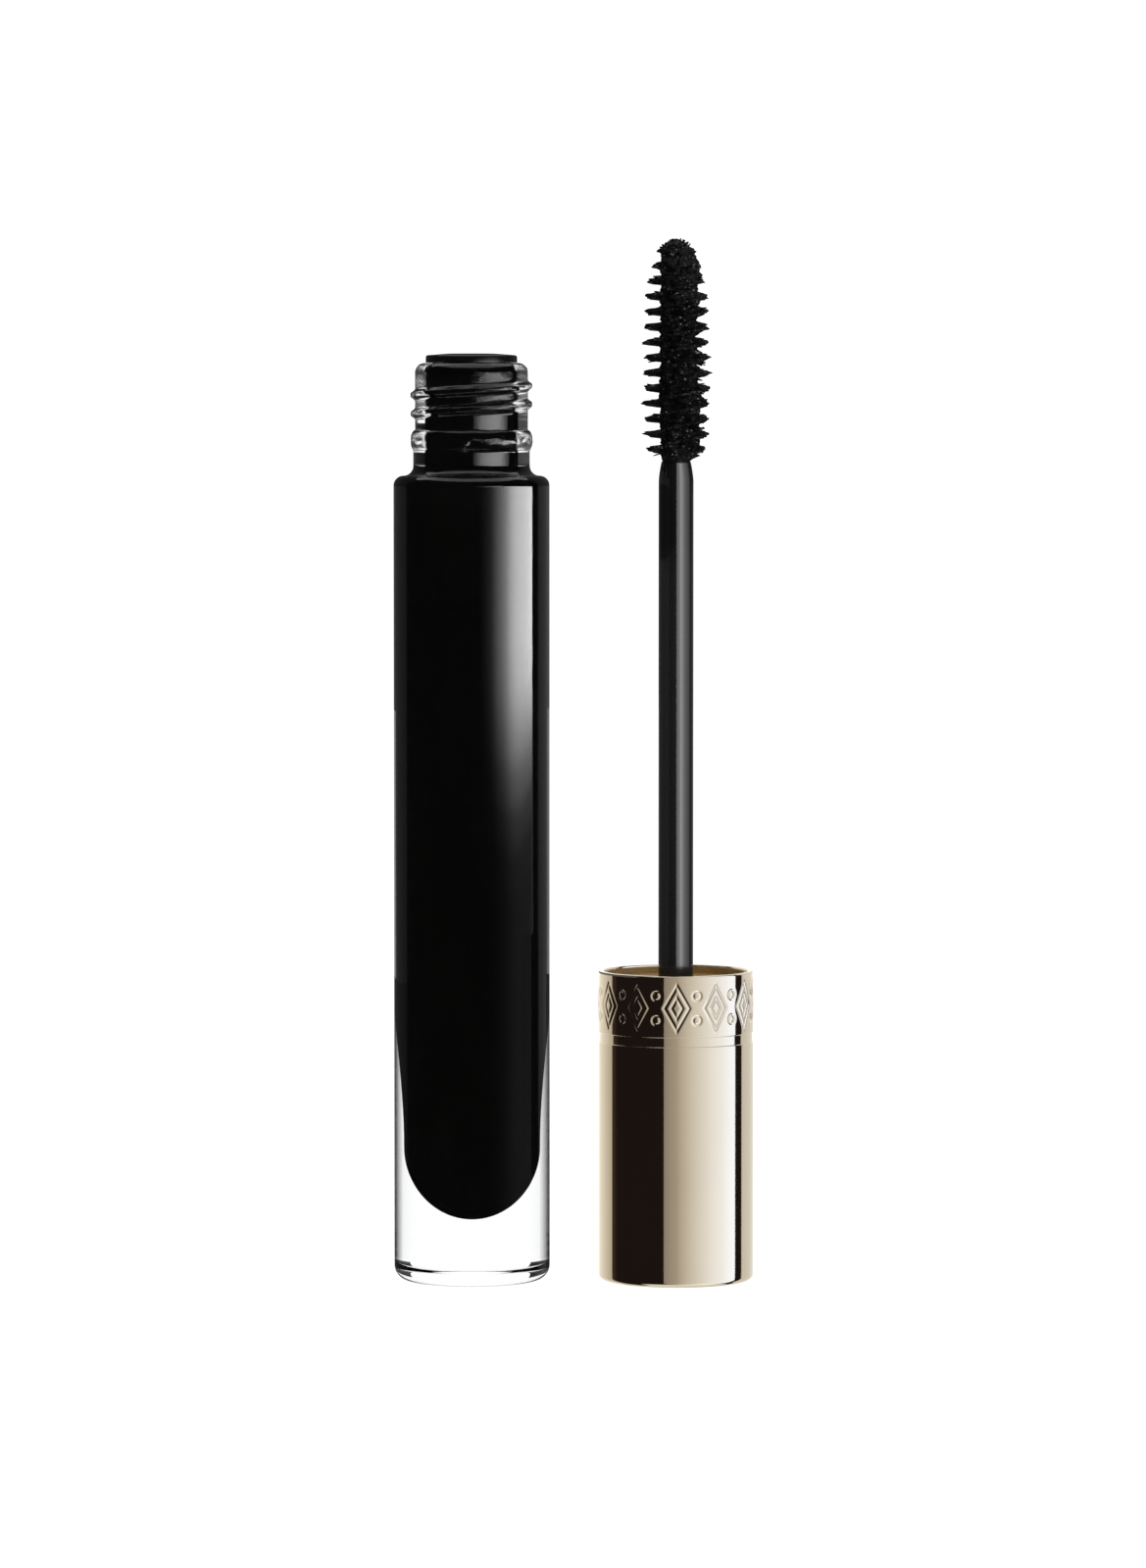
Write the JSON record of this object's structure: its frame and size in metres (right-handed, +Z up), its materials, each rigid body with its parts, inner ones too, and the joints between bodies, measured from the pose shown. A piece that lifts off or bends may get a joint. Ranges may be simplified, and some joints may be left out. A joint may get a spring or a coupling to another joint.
{
  "type": "mascara tube",
  "caption": "Opened mascara: clear glass bottle of black paste with screw neck and wiper, beside a gold cap with stem and twisted brush standing up.",
  "frame": {"origin": "On the surface the pieces stand on, midway between the bottle's axis and the applicator's axis.", "axes": "+Z up along both axes, +X from the bottle to the applicator, -Y to the front."},
  "size_m": [0.044, 0.019, 0.1269],
  "materials": {
    "clear_glass": "polished",
    "black_paste": "wet gloss",
    "black_plastic": "satin",
    "gold_metal": "polished pale gold",
    "gold_plastic": "satin",
    "pale_foam": "matte",
    "steel_wire": "drawn",
    "black_nylon": "coated with paste"
  },
  "bodies": {
    "bottle": {"glass_bottle": "clear_glass", "mascara_paste": "black_paste", "wiper": "black_plastic"},
    "stem": {"stem": "black_plastic"},
    "cap_and_brush": {"cap_shell": "gold_metal", "cap_liner": "gold_plastic", "cap_gasket": "pale_foam", "brush_wire": "steel_wire", "bristle_row_01": "black_nylon", "bristle_row_02": "black_nylon", "bristle_row_03": "black_nylon", "bristle_row_04": "black_nylon", "bristle_row_05": "black_nylon", "bristle_row_06": "black_nylon", "bristle_row_07": "black_nylon", "bristle_row_08": "black_nylon", "bristle_row_09": "black_nylon", "bristle_row_10": "black_nylon", "bristle_row_11": "black_nylon", "bristle_row_12": "black_nylon", "bristle_row_13": "black_nylon", "bristle_row_14": "black_nylon"}
  },
  "joints": [
    {"name": "applicator_lift", "type": "slide", "parent": "bottle", "child": "stem", "axis": [0, 0, 1], "range_m": [0, 0.103]},
    {"name": "applicator_turn", "type": "hinge", "parent": "stem", "child": "cap_and_brush", "pos_m": [0.01245, 0, 0.02], "axis": [0, 0, 1], "continuous": true}
  ]
}
